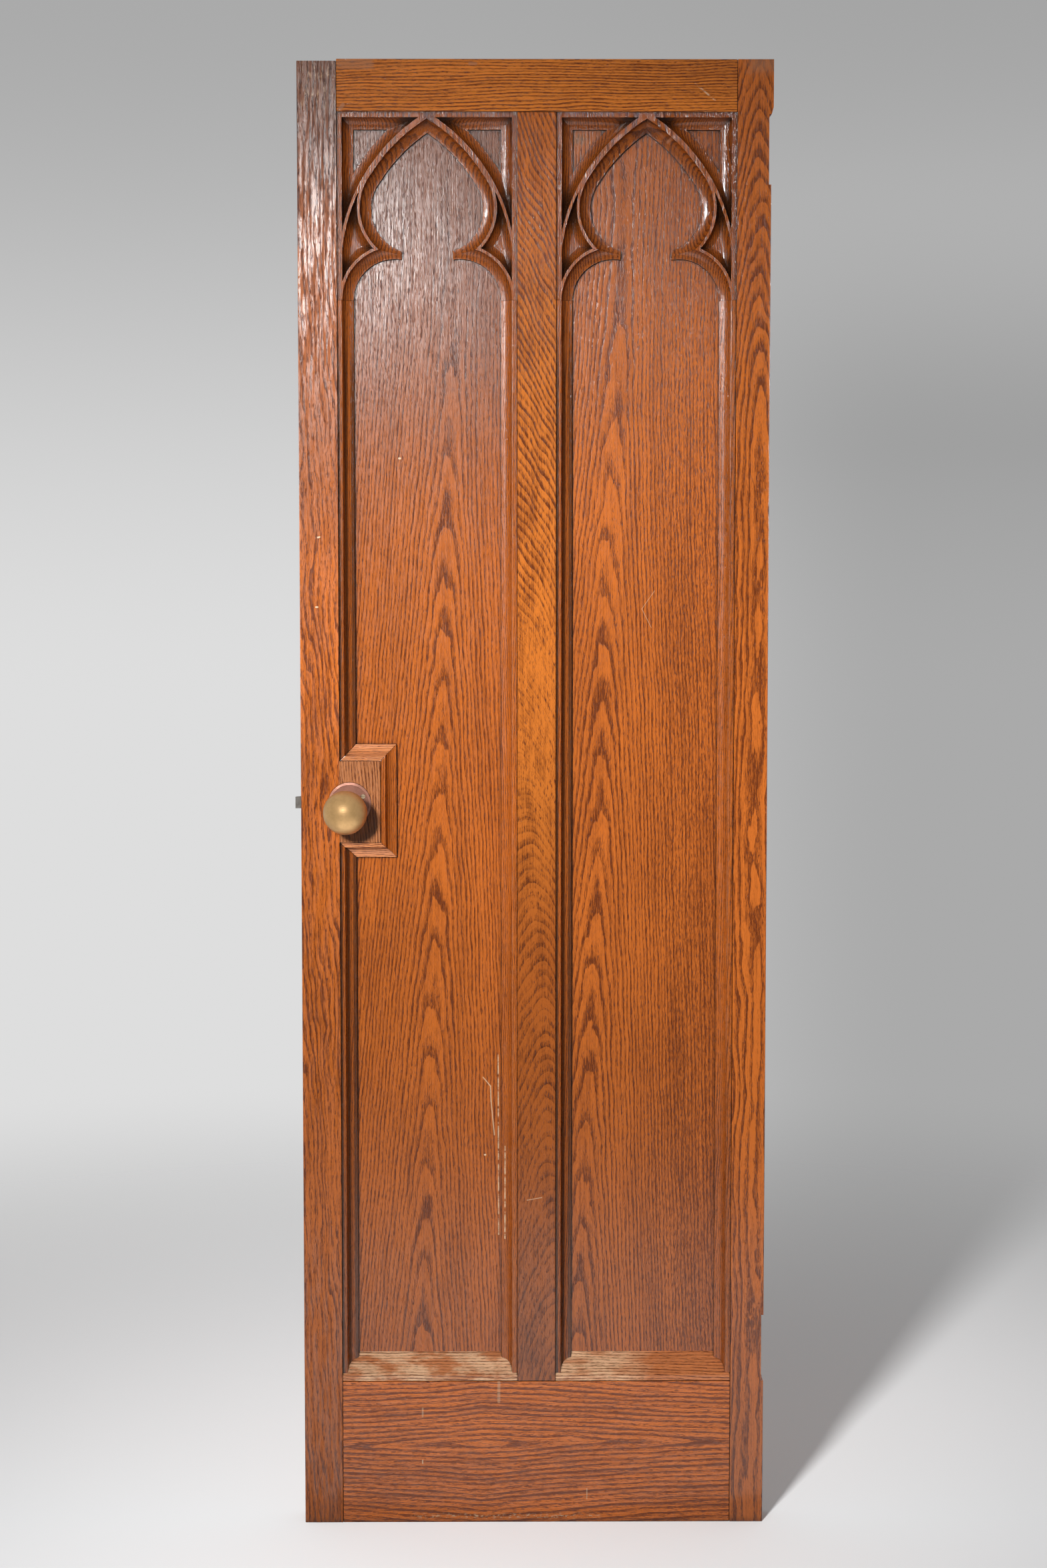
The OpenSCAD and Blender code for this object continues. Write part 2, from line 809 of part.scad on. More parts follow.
module back_left_bottom() {
  color(oak) on_back(x_muntin_left, z_open_low) rotate([0, 0, 90])
    back_moulding(opening_w, 1, 1);
}

module back_left_below_lock() {
  color(oak) on_back(x_lock_in, z_open_low)
    back_moulding(z_block_low - z_open_low, 1, 1);
}

module back_block_bottom() {
  color(oak) on_back(x_lock_in, z_block_low) rotate([0, 0, -90])
    back_moulding(block_w, 1, -1);
}

module back_block_side() {
  color(oak) on_back(x_block_side, z_block_low)
    back_moulding(block_h, -1, -1);
}

module back_block_top() {
  color(oak) on_back(x_block_side, z_block_high) rotate([0, 0, 90])
    back_moulding(block_w, -1, 1);
}

module back_left_above_lock() {
  color(oak) on_back(x_lock_in, z_block_high)
    back_moulding(z_open_high - z_block_high, 1, 1);
}

module back_right_top() {
  color(oak) on_back(x_muntin_right, z_open_high) rotate([0, 0, -90])
    back_moulding(opening_w, 1, 1);
}

module back_right_hanging() {
  color(oak) on_back(x_hanging_in, z_open_high) rotate([0, 0, 180])
    back_moulding(opening_h, 1, 1);
}

module back_right_bottom() {
  color(oak) on_back(x_hanging_in, z_open_low) rotate([0, 0, 90])
    back_moulding(opening_w, 1, 1);
}

module back_right_muntin() {
  color(oak) on_back(x_muntin_right, z_open_low)
    back_moulding(opening_h, 1, 1);
}

// Latch lock

// Way of the bolt through the front plate and the case wall
module latch_way() {
  box([x_lock_edge - over, -latch_t / 2 - latch_fit, z_latch - latch_h / 2 - latch_fit],
      [x_case + case_wall + over, latch_t / 2 + latch_fit, z_latch + latch_h / 2 + latch_fit]);
}

// Running hole of the hub through one wall of the case
module hub_hole() {
  bar_y(x_spindle, spindle_z, -case_t / 2 - over, case_t / 2 + over, hub_r + hub_fit);
}

module lock_case() {
  color(steel) difference() {
    union() {
      difference() {
        box([x_case, -case_t / 2 + case_wall, z_case_low], [x_case_back, case_t / 2, z_case_low + case_h]);
        box([x_case + case_wall, -case_t / 2, z_case_low + case_wall],
            [x_case_back - case_wall, case_t / 2 - case_wall, z_case_low + case_h - case_wall]);
      }
      bar_x(spring_x1 - spring_seat_l, spring_x1 + case_wall / 2, 0, spring_z,
            spring_r - spring_wire / 2 - spring_seat_fit);
    }
    latch_way();
    hub_hole();
  }
}

module lock_cover() {
  color(steel) difference() {
    box([x_case, -case_t / 2, z_case_low], [x_case_back, -case_t / 2 + case_wall, z_case_low + case_h]);
    hub_hole();
  }
}

module lock_front() {
  color(brass) difference() {
    box([x_lock_edge, -plate_w / 2, z_latch - plate_h / 2], [x_case, plate_w / 2, z_latch + plate_h / 2]);
    latch_way();
    for (s = [-1, 1]) translate([x_lock_edge, 0, z_latch + s * plate_screw_pitch / 2]) {
      bar_x(-over, plate_t + over, 0, 0, plate_hole_r);
      bar_x(-over, screw_head_h + screw_fit, 0, 0, screw_head_r + screw_fit);
    }
  }
}

// A slotted screw that enters along +X with its head's face at the origin
module screw() {
  difference() {
    union() {
      bar_x(0, screw_head_h, 0, 0, screw_head_r);
      bar_x(screw_head_h / 2, screw_head_h + screw_l, 0, 0, screw_shank_r);
    }
    box([-over, -screw_head_r - over, -slot_w / 2], [screw_head_h / 2, screw_head_r + over, slot_w / 2]);
  }
}

module lock_front_screws() {
  color(brass) for (s = [-1, 1])
    translate([x_lock_edge + screw_fit, 0, z_latch + s * plate_screw_pitch / 2]) screw();
}

// The bolt: bevelled head, root inside the case, strap over the hub arm and hook behind it
module latch_bolt() {
  x_tip = x_lock_edge - latch_out;
  x_root = x_case + case_wall + latch_fit;
  color(steel) union() {
    translate([0, 0, z_latch - latch_h / 2]) linear_extrude(height = latch_h)
      polygon([
        [x_tip, -latch_t / 2], [x_root + bolt_root, -latch_t / 2], [x_root + bolt_root, latch_t / 2],
        [x_lock_edge, latch_t / 2], [x_tip, -latch_t / 2 + latch_tip_flat]
      ]);
    box([x_root, -latch_t / 2, z_latch], [x_root + bolt_root, latch_t / 2, z_strap_high]);
    box([x_root, -hub_arm_t / 2, z_strap_low], [x_hook + hook_w, hub_arm_t / 2, z_strap_high]);
    box([x_hook, -hub_arm_t / 2, z_hook_low], [x_hook + hook_w, hub_arm_t / 2, z_strap_high]);
  }
}

// Point on the spring wire: turn t of the coil, angle a round the wire
function coil_point(t, a) =
  let (
    run = spring_x1 - spring_x0 - spring_wire,
    r = spring_r + spring_wire / 2 * cos(a)
  )
  [spring_x0 + spring_wire / 2 + run * t / spring_turns + spring_wire / 2 * sin(a),
   r * cos(360 * t), spring_z + r * sin(360 * t)];

module latch_spring() {
  sides = 6;
  steps = 14 * spring_turns;
  points = [for (i = [0 : steps], j = [0 : sides - 1]) coil_point(i * spring_turns / steps, 360 * j / sides)];
  walls = [
    for (i = [0 : steps - 1], j = [0 : sides - 1])
      let (k = (j + 1) % sides)
      [i * sides + j, i * sides + k, (i + 1) * sides + k, (i + 1) * sides + j]
  ];
  first = [for (j = [sides - 1 : -1 : 0]) j];
  last = [for (j = [0 : sides - 1]) steps * sides + j];
  color(steel) polyhedron(points = points, faces = concat(walls, [first, last]));
}

module lock_hub() {
  color(steel) difference() {
    union() {
      bar_y(x_spindle, spindle_z, -case_t / 2, case_t / 2, hub_r);
      box([x_spindle - hub_arm_w / 2, -hub_arm_t / 2, spindle_z],
          [x_spindle + hub_arm_w / 2, hub_arm_t / 2, spindle_z + hub_arm_l]);
    }
    square_bar(square_hole, -leaf_t, leaf_t);
  }
}

// A square bar on the spindle axis from y0 to y1
module square_bar(w, y0, y1) {
  box([x_spindle - w / 2, y0, spindle_z - w / 2], [x_spindle + w / 2, y1, spindle_z + w / 2]);
}

module spindle() {
  color(steel) square_bar(spindle_w, -spindle_half, spindle_half);
}

// Knobs, turned about the spindle; a runs outwards from the door face

// Half section of the knob: shank, collar and flattened ball
module knob_2d() {
  steps = 36;
  ball = [for (i = [0 : steps])
    let (t = -90 + 180 * i / steps)
    [knob_d / 2 * cos(t), knob_stand + knob_depth / 2 * sin(t)]];
  translate([0, shank_gap]) square([shank_r, knob_stand - shank_gap]);
  translate([0, knob_stand - knob_depth / 2 - collar_l / 2]) square([collar_r, collar_l]);
  polygon(ball);
}

module knob_turned() {
  difference() {
    rotate([90, 0, 0]) rotate_extrude($fn = 96) knob_2d();
    translate([-x_spindle, leaf_t / 2, -spindle_z])
      square_bar(square_hole, -spindle_half - spindle_fit, 0);
    bar_x(0, shank_r + over, -set_screw_out, 0, set_screw_r + screw_fit);
  }
}

module front_knob() {
  color(brass) translate([x_spindle, y_front, spindle_z]) knob_turned();
}

module back_knob() {
  color(brass) translate([x_spindle, y_back, spindle_z]) mirror([0, 1, 0]) knob_turned();
}

module knob_set_screws() {
  color(steel) for (y = [y_front - set_screw_out, y_back + set_screw_out])
    bar_x(x_spindle + shank_r - set_screw_l, x_spindle + shank_r, y, spindle_z, set_screw_r);
}

// Half section of the rosette: bright rim, hollow slope and raised ring round the hole
module rosette_2d() {
  rim_r = rosette_d / 2;
  ring_r = rosette_hole_r + rosette_ring_w;
  slope_r = rim_r - rosette_rim_w;
  polygon([
    [rosette_hole_r, 0], [rim_r, 0], [rim_r, rosette_rim_h], [slope_r, rosette_rim_h + rosette_bead_h],
    [slope_r, rosette_rim_h], [ring_r, rosette_h], [rosette_hole_r, rosette_h]
  ]);
}

// A rosette on the front face, its centre at (x, z)
module rosette_at(x, z) {
  difference() {
    translate([x, y_front, z]) rotate([90, 0, 0]) rotate_extrude($fn = 96) rosette_2d();
    at_rosette_screws(x, z) {
      bar_y(0, 0, y_front - rosette_h - over, y_front + over, screw_shank_r + screw_fit);
      bar_y(0, 0, y_front - rosette_h - over, y_front - rosette_rim_h, screw_head_r + screw_fit);
    }
  }
}

module front_rosette() {
  color(bronze) rosette_at(x_spindle + rosette_slip_x, spindle_z + rosette_slip_z);
}

module back_rosette() {
  color(bronze) mirror([0, 1, 0]) rosette_at(x_spindle, spindle_z);
}

module rosette_screw_pair(x, z) {
  at_rosette_screws(x, z) translate([0, y_front - rosette_rim_h - screw_head_h, 0])
    rotate([0, 0, 90]) screw();
}

module rosette_screws() {
  color(steel) {
    rosette_screw_pair(x_spindle + rosette_slip_x, spindle_z + rosette_slip_z);
    mirror([0, 1, 0]) rosette_screw_pair(x_spindle, spindle_z);
  }
}

lock_stile();
hanging_stile();
top_rail();
bottom_rail();
muntin();
left_panel();
right_panel();
lock_block();
left_tracery_lock_half();
left_tracery_muntin_half();
right_tracery_muntin_half();
right_tracery_hanging_half();
left_moulding_above_lock();
left_moulding_below_lock();
left_moulding_muntin();
right_moulding_muntin();
right_moulding_hanging();
left_sill();
right_sill();
block_moulding_top();
block_moulding_side();
block_moulding_bottom();
back_left_top();
back_left_muntin();
back_left_bottom();
back_left_below_lock();
back_block_bottom();
back_block_side();
back_block_top();
back_left_above_lock();
back_right_top();
back_right_hanging();
back_right_bottom();
back_right_muntin();
lock_case();
lock_cover();
lock_front();
lock_front_screws();
latch_bolt();
latch_spring();
lock_hub();
spindle();
front_knob();
back_knob();
knob_set_screws();
front_rosette();
back_rosette();
rosette_screws();
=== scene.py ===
"""Looks of the carved oak door: varnish, grain, wear, metal, light and camera."""

import math

import bpy
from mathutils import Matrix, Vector


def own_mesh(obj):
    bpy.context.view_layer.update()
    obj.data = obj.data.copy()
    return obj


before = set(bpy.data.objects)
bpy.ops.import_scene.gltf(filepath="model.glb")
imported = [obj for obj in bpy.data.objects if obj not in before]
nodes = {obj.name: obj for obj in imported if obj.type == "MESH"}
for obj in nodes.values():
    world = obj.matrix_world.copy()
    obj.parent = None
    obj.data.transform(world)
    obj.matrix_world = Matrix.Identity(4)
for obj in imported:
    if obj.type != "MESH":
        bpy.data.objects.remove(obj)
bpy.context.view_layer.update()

MM = 0.001

# The carved face of the leaf, and where the front's tone and wear give way to the plain back
FRONT_Y = -22 * MM
FRONT_TO = 4 * MM
BACK_FROM = 6 * MM
BACK_TONE = 0.85
CARVED_TONE = 0.86

# Noises of the grain, in cells per metre across, through and along the board
SLOW_CELLS = (9, 9, 2.6)
RING_CELLS = (60, 30, 16)
DASH_CELLS = (1250, 1250, 75)
FLECK_CELLS = (1300, 1300, 150)
FIBRE_CELLS = (620, 620, 9)
BROAD_CELLS = (26, 20, 3.5)
FIGURE_CELLS = (16, 16, 6)
CLOUD_CELLS = (70, 70, 26)
WEAR_CELLS = (520, 520, 45)
SEED_STEP = 7.3
FIGURE_STEP = 5.7
CLOUD_STEP = 9.1
WEAR_STEP = 3.1

# How much each kind of grain darkens the wood, and how deep it is in the surface
LINE_DEPTH = 1.5
THIN_DEPTH = 0.22
PORE_DEPTH = 0.75
FIBRE_DEPTH = 1.1
BROAD_DEPTH = 0.8
DENSE_DEPTH = 0.34
BASE_DEPTH = 0.07
BACK_GRAIN = 0.65
FIBRE_RELIEF = 0.55
PORE_RELIEF = 1.5
LINE_RELIEF = 0.6
RELIEF = 0.25 * MM

# Dirt and painted shade in corners and seams, and the dull end grain
CORNER_REACH = 14 * MM
SEAM_REACH = 4 * MM
SEAM_DIRT_AND_SHADE = 0.95
END_GRAIN_ROUGH = 0.5

# Softened arrises
WELD_GAP = 0.02 * MM
ARRIS = 1.1 * MM
ARRIS_ANGLE = 32


def linear(red, green, blue):
    """Turns a colour written in 0 to 255 into the linear values that shaders take."""
    values = []
    for part in (red, green, blue):
        part = part / 255
        values.append(part / 12.92 if part <= 0.04045 else ((part + 0.055) / 1.055) ** 2.4)
    return (*values, 1.0)


OAK_LIGHT = linear(197, 104, 36)
# Paler oak for the lock block and the level mouldings; its grey cast is a painted low sheen
OAK_PALE_SHEEN = linear(208, 134, 84)
OAK_DARK = linear(104, 46, 11)
OAK_BARE = linear(244, 198, 156)
OAK_GOLD = linear(212, 121, 42)
SCRATCH = linear(240, 208, 168)
# A dark brown for dirt, and for shade painted into hollows
DIRT_AND_SHADE = linear(40, 20, 8)
RUBBED_AND_SHEEN = linear(186, 126, 90)
GREY_DIRT = linear(122, 112, 92)
BARE_GRAIN = linear(128, 78, 44)


class Web:
    """One material's node tree, with short calls for the nodes used here."""

    def __init__(self, name):
        self.material = bpy.data.materials.new(name)
        self.material.use_nodes = True
        self.tree = self.material.node_tree
        self.shader = self.tree.nodes["Principled BSDF"]
        self.coords = self.node("ShaderNodeTexCoord").outputs["Object"]
        split = self.node("ShaderNodeSeparateXYZ")
        self.put(split.inputs[0], self.coords)
        self.x, self.y, self.z = split.outputs
        facing = self.node("ShaderNodeSeparateXYZ")
        self.put(facing.inputs[0], self.node("ShaderNodeNewGeometry").outputs["True Normal"])
        self.facing_up = facing.outputs[2]

    def node(self, kind):
        return self.tree.nodes.new(kind)

    def put(self, socket, value):
        if isinstance(value, bpy.types.NodeSocket):
            self.tree.links.new(value, socket)
        else:
            socket.default_value = value

    def math(self, operation, *values):
        node = self.node("ShaderNodeMath")
        node.operation = operation
        for socket, value in zip(node.inputs, values):
            self.put(socket, value)
        return node.outputs[0]

    def add(self, *values):
        total = values[0]
        for value in values[1:]:
            total = self.math("ADD", total, value)
        return total

    def mul(self, *values):
        total = values[0]
        for value in values[1:]:
            total = self.math("MULTIPLY", total, value)
        return total

    def sub(self, a, b):
        return self.math("SUBTRACT", a, b)

    def rise(self, value, low, high):
        """0 below low, 1 above high, smooth between; low may be the larger."""
        node = self.node("ShaderNodeMapRange")
        node.interpolation_type = "SMOOTHSTEP"
        start, end = (0.0, 1.0) if low < high else (1.0, 0.0)
        self.put(node.inputs["Value"], value)
        node.inputs["From Min"].default_value = min(low, high)
        node.inputs["From Max"].default_value = max(low, high)
        node.inputs["To Min"].default_value = start
        node.inputs["To Max"].default_value = end
        return node.outputs["Result"]

    def place(self, a, b, c):
        node = self.node("ShaderNodeCombineXYZ")
        for socket, value in zip(node.inputs, (a, b, c)):
            self.put(socket, value)
        return node.outputs[0]

    def noise(self, vector, detail=2.0, rough=0.5):
        node = self.node("ShaderNodeTexNoise")
        self.put(node.inputs["Vector"], vector)
        node.inputs["Scale"].default_value = 1.0
        node.inputs["Detail"].default_value = detail
        node.inputs["Roughness"].default_value = rough
        return node.outputs[0]

    def grain(self, u, v, w, scales, far, detail, rough=0.5):
        """Noise stretched along the grain; scales are cells per metre over u, v and w."""
        across, through, along = scales
        spot = self.place(self.add(self.mul(u, across), far), self.mul(v, through), self.mul(w, along))
        return self.noise(spot, detail, rough)

    def chance(self, value):
        node = self.node("ShaderNodeTexWhiteNoise")
        node.noise_dimensions = "1D"
        self.put(node.inputs["W"], value)
        return node.outputs["Value"]

    def mix(self, share, a, b):
        node = self.node("ShaderNodeMix")
        node.data_type = "RGBA"
        self.put(node.inputs[0], share)
        self.put(node.inputs[6], a)
        self.put(node.inputs[7], b)
        return node.outputs[2]

    def tint(self, colour, factor):
        node = self.node("ShaderNodeVectorMath")
        node.operation = "SCALE"
        self.put(node.inputs[0], colour)
        self.put(node.inputs["Scale"], factor)
        return node.outputs[0]

    def hollow(self, reach):
        """0 in the open, rising towards 1 in corners closer than the reach."""
        node = self.node("ShaderNodeAmbientOcclusion")
        node.samples = 6
        node.inputs["Distance"].default_value = reach
        return self.math("SUBTRACT", 1.0, node.outputs["AO"])

    def bump(self, height, strength, depth):
        node = self.node("ShaderNodeBump")
        node.inputs["Strength"].default_value = strength
        node.inputs["Distance"].default_value = depth
        self.put(node.inputs["Height"], height)
        return node.outputs["Normal"]

    def line(self, start, end, half_width):
        """A mask of a straight scratch between two (x, z) points in mm."""
        x0, z0 = (value * MM for value in start)
        x1, z1 = (value * MM for value in end)
        dx, dz = x1 - x0, z1 - z0
        span = max(dx * dx + dz * dz, 1e-9)
        from_x = self.sub(self.x, x0)
        from_z = self.sub(self.z, z0)
        part = self.math("DIVIDE", self.add(self.mul(from_x, dx), self.mul(from_z, dz)), span)
        part = self.math("MINIMUM", self.math("MAXIMUM", part, 0.0), 1.0)
        off_x = self.sub(from_x, self.mul(part, dx))
        off_z = self.sub(from_z, self.mul(part, dz))
        gap = self.math("SQRT", self.add(self.mul(off_x, off_x), self.mul(off_z, off_z)))
        return self.rise(gap, half_width * MM, half_width * MM * 0.4)

    def patch(self, low, high, soft):
        """A ragged mask of a rectangle between two (x, z) corners in mm."""
        ragged = self.noise(self.place(self.mul(self.x, 160), 0.0, self.mul(self.z, 160)), 4.0, 0.65)
        edge = self.mul(self.sub(ragged, 0.5), soft * 2.4 * MM)
        mask = 1.0
        for value, a, b in ((self.x, low[0], high[0]), (self.z, low[1], high[1])):
            value = self.add(value, edge)
            mask = self.mul(mask, self.rise(value, (a - soft) * MM, (a + soft) * MM))
            mask = self.mul(mask, self.rise(value, (b + soft) * MM, (b - soft) * MM))
        return mask


def oak(name, along="z", heart=0.0, lean=0.0, bend=40, taper=0.066, ring=4.3,
        level=None, mid=None, flame=None, width=0.45, fade=0.0, wander=30, wave=1.1,
        cells=RING_CELLS, light=OAK_LIGHT, tone=1.0, bare=None, contrast=1.0,
        dirt_and_shade=0.7, corner_from=0.15, corner_to=0.7, through=0.8, dull=0.16, gloss=0.15,
        patchy=0.0, calm=None, dense=None, mottle=0.0, steady=0.28,
        wear_cells=WEAR_CELLS, seed=0.0, marks=None):
    """Varnished oak, cut from the rings of a trunk.

    The trunk: its axis crosses zero at heart mm and leans by lean. bend rounds the tops of the arches,
    taper sets their height and ring the rings' spacing in mm. The arches end at level or start at flame,
    both in metres, or stand on both sides of mid, in mm. wander and wave make the rings drift and ripple,
    and through carries them into the thickness.
    The lines: width is a line's share of its ring, contrast its depth and steady how unbroken it is.
    They weaken above fade, in metres. patchy and calm thin them out, dense adds flecks, mottle clouds.
    The surface: light and tone give its colour, bare its worn wood, gloss and dull its varnish, grime
    its dirt and the shade painted into its corners and seams, and marks its wear, on some mouldings
    also painted shade and sheen. light and tone may be functions of the web; bare, calm, dense and
    marks always are.
    """
    web = Web(name)
    w, u = (web.z, web.x) if along == "z" else (web.x, web.z)
    v = web.y
    front = web.rise(web.y, BACK_FROM, FRONT_TO)
    far = seed * SEED_STEP
    slow = web.grain(u, v, w, SLOW_CELLS, far, 3.0)
    quick = web.grain(u, v, w, cells, far, 3.0)
    side = web.sub(web.sub(u, heart * MM), web.mul(w, lean))
    side = web.add(side, web.mul(web.sub(slow, 0.5), wander * MM))
    deep = web.add(web.mul(web.sub(v, FRONT_Y), through), bend * MM)
    arc = web.math("SQRT", web.add(web.mul(side, side), web.mul(deep, deep)))
    height = w
    if mid is not None:
        height = web.math("ABSOLUTE", web.sub(w, mid * MM))
    if level is not None:
        height = web.math("SMOOTH_MIN", w, level, 0.3)
    if flame is not None:
        height = web.math("SMOOTH_MAX", w, flame, 0.2)
    rings = web.math("DIVIDE", web.add(arc, web.mul(height, taper)), ring * MM)
    rings = web.add(rings, web.mul(web.sub(quick, 0.5), wave), far)
    part = web.math("FRACT", rings)
    strength = web.add(web.mul(web.chance(web.math("FLOOR", rings)), 0.65), 0.35)
    dash = web.grain(u, v, w, DASH_CELLS, far, 2.0, 0.6)
    fleck = web.grain(u, v, w, FLECK_CELLS, far, 1.0)
    fibre = web.grain(u, v, w, FIBRE_CELLS, far, 3.0, 0.6)
    broad = web.grain(u, v, w, BROAD_CELLS, far, 3.0)
    line = web.mul(web.rise(part, 0.0, 0.08), web.rise(part, width + 0.2, 0.04), strength)
    lines = web.mul(line, web.add(web.mul(web.rise(dash, 0.4, 0.58), 1.0 - steady), steady))
    if patchy:
        figure = web.rise(web.grain(u, v, w, FIGURE_CELLS, far + FIGURE_STEP, 3.0), 0.42, 0.6)
        lines = web.mul(lines, web.add(web.mul(figure, patchy), 1.0 - patchy))
    if calm:
        lines = web.mul(lines, calm(web))
    inner = web.math("FRACT", web.mul(rings, 2.7))
    thin = web.mul(web.rise(inner, 0.0, 0.15), web.rise(inner, 0.6, 0.15), web.rise(dash, 0.42, 0.6))
    if fade:
        lines = web.mul(lines, web.add(web.mul(web.rise(w, fade + 0.25, fade - 0.1), 0.65), 0.35))
    porous = web.add(web.mul(web.rise(part, 0.0, 0.05), web.rise(part, 0.85, 0.1), 0.65), 0.35)
    pores = web.mul(web.rise(fleck, 0.54, 0.66), porous)
    dark = web.add(
        web.mul(lines, LINE_DEPTH * contrast),
        web.mul(thin, THIN_DEPTH * contrast),
        web.mul(pores, PORE_DEPTH * contrast),
        web.mul(web.sub(fibre, 0.5), FIBRE_DEPTH * contrast),
        web.mul(web.sub(broad, 0.5), BROAD_DEPTH),
        BASE_DEPTH,
    )
    if mottle:
        cloud = web.grain(u, v, w, CLOUD_CELLS, far + CLOUD_STEP, 4.0, 0.65)
        dark = web.add(dark, web.mul(web.sub(cloud, 0.5), mottle))
    if dense:
        dark = web.add(dark, web.mul(dense(web), web.rise(fleck, 0.46, 0.6), DENSE_DEPTH))
    dark = web.mul(dark, web.add(web.mul(front, 1.0 - BACK_GRAIN), BACK_GRAIN))
    dark = web.math("MINIMUM", web.math("MAXIMUM", dark, 0.0), 1.0)
    colour = web.mix(dark, light(web) if callable(light) else light, OAK_DARK)
    if bare:
        ragged = web.noise(web.place(web.mul(u, 60), web.mul(v, 60), web.mul(w, 22)), 4.0, 0.6)
        raw = web.mix(dark, OAK_BARE, BARE_GRAIN)
        colour = web.mix(bare(web, ragged), colour, raw)
    level_front = tone(web) if callable(tone) else tone
    level_front = web.add(web.mul(web.sub(level_front, BACK_TONE), front), BACK_TONE)
    colour = web.tint(colour, level_front)
    # Dirt and painted shade: corners and seams are darkened towards a dark brown, by how enclosed they
    # are
    corner = web.rise(web.hollow(CORNER_REACH), corner_from, corner_to)
    seam = web.rise(web.hollow(SEAM_REACH), 0.25, 0.5)
    dirt_and_shade = web.math("MAXIMUM", web.mul(corner, dirt_and_shade), web.mul(seam, SEAM_DIRT_AND_SHADE))
    colour = web.mix(dirt_and_shade, colour, DIRT_AND_SHADE)
    if marks:
        for mask, shade in marks(web):
            colour = web.mix(web.mul(mask, front), colour, shade)
    web.put(web.shader.inputs["Base Color"], colour)
    worn = web.rise(web.grain(u, v, w, wear_cells, far + WEAR_STEP, 4.0, 0.65), 0.42, 0.62)
    rough = web.add(gloss, web.mul(pores, 0.15), web.mul(fibre, 0.06), web.mul(worn, dull))
    end_grain = web.rise(web.math("ABSOLUTE", web.facing_up), 0.7, 0.95)
    web.put(web.shader.inputs["Roughness"], web.add(rough, web.mul(end_grain, END_GRAIN_ROUGH)))
    web.shader.inputs["Specular IOR Level"].default_value = 0.5
    raised = web.mul(fibre, FIBRE_RELIEF)
    sunk = web.add(web.mul(pores, PORE_RELIEF), web.mul(lines, LINE_RELIEF))
    relief = web.sub(raised, sunk)
    web.put(web.shader.inputs["Normal"], web.bump(relief, 0.5, RELIEF))
    return web.material


def metal(name, colour, shade, rough, spots=0.5, metallic=1.0):
    """Aged metal: a base colour with darker tarnish in broad and fine spots."""
    web = Web(name)
    cloud = web.noise(web.tint(web.coords, 90), 5.0, 0.62)
    fleck = web.noise(web.tint(web.coords, 420), 3.0, 0.6)
    tarnish = web.add(
        web.mul(web.rise(cloud, 0.4, 0.7), spots),
        web.mul(web.rise(fleck, 0.5, 0.7), spots * 0.4),
    )
    tarnish = web.math("MINIMUM", tarnish, 1.0)
    corner = web.rise(web.hollow(8 * MM), 0.3, 0.8)
    web.put(web.shader.inputs["Base Color"], web.mix(corner, web.mix(tarnish, colour, shade), shade))
    web.put(web.shader.inputs["Roughness"], web.add(rough, web.mul(tarnish, 0.18)))
    web.shader.inputs["Metallic"].default_value = metallic
    web.put(web.shader.inputs["Normal"], web.bump(fleck, 0.1, 0.2 * MM))
    return web.material


# Wear, dirt, painted shade and painted sheen, each a mask and its colour; points are (x, z) in mm on the
# carved face


def lock_stile_marks(web):
    yield web.line((-281, 1306), (-279, 1306.5), 1.6), SCRATCH
    yield web.line((-284, 1216), (-282, 1216), 1.5), SCRATCH
    scuff = web.noise(web.place(web.mul(web.x, 300), 0.0, web.mul(web.z, 60)), 4.0, 0.7)
    yield web.mul(web.patch((-299, 1855), (-256, 1909), 9), web.rise(scuff, 0.52, 0.66), 0.6), OAK_BARE


def hanging_stile_marks(web):
    yield web.mul(web.patch((272, 1899), (312, 1918), 8), 0.6), RUBBED_AND_SHEEN


def muntin_marks(web):
    yield web.mul(web.line((-10.4, 434.9), (8.9, 438.4), 0.8), 0.45), SCRATCH


def top_rail_marks(web):
    scuff = web.noise(web.place(web.mul(web.x, 80), 0.0, web.mul(web.z, 300)), 4.0, 0.7)
    gouge = web.line((204.2, 1884.2), (229.9, 1863.2), 1.4)
    yield web.mul(gouge, web.rise(scuff, 0.44, 0.6), 0.6), SCRATCH
    corner = web.patch((-254, 1902), (-207, 1918), 3)
    yield web.mul(corner, web.add(web.mul(scuff, 0.6), 0.3), 0.9), RUBBED_AND_SHEEN
    yield web.mul(web.line((-250, 1852), (-246, 1857), 3.4), 0.7), RUBBED_AND_SHEEN
    yield web.mul(web.line((-84, 1909), (-76, 1909), 2.6), 0.6), RUBBED_AND_SHEEN


def bottom_rail_marks(web):
    yield web.mul(web.line((-148.8, 154.6), (-148.9, 143.8), 1.6), 0.35), SCRATCH
    yield web.mul(web.line((-47.8, 192.3), (-47.9, 163.4), 2.6), 0.3), SCRATCH
    yield web.mul(web.line((-149.1, 84), (-149.1, 80), 1.2), 0.7), SCRATCH
    yield web.mul(web.line((69.1, 45.0), (69.1, 31.4), 0.8), 0.6), SCRATCH
    fleck = web.noise(web.place(web.mul(web.x, 160), 0.0, web.mul(web.z, 420)), 4.0, 0.7)
    yield web.mul(web.patch((-162, 6), (87, 11), 3), web.rise(fleck, 0.52, 0.6), 0.75), SCRATCH


def broken_line(web, cells):
    """Gaps along an upright scratch, in cells per metre."""
    return web.rise(web.noise(web.place(0.0, 0.0, web.mul(web.z, cells)), 4.0, 0.7), 0.4, 0.56)


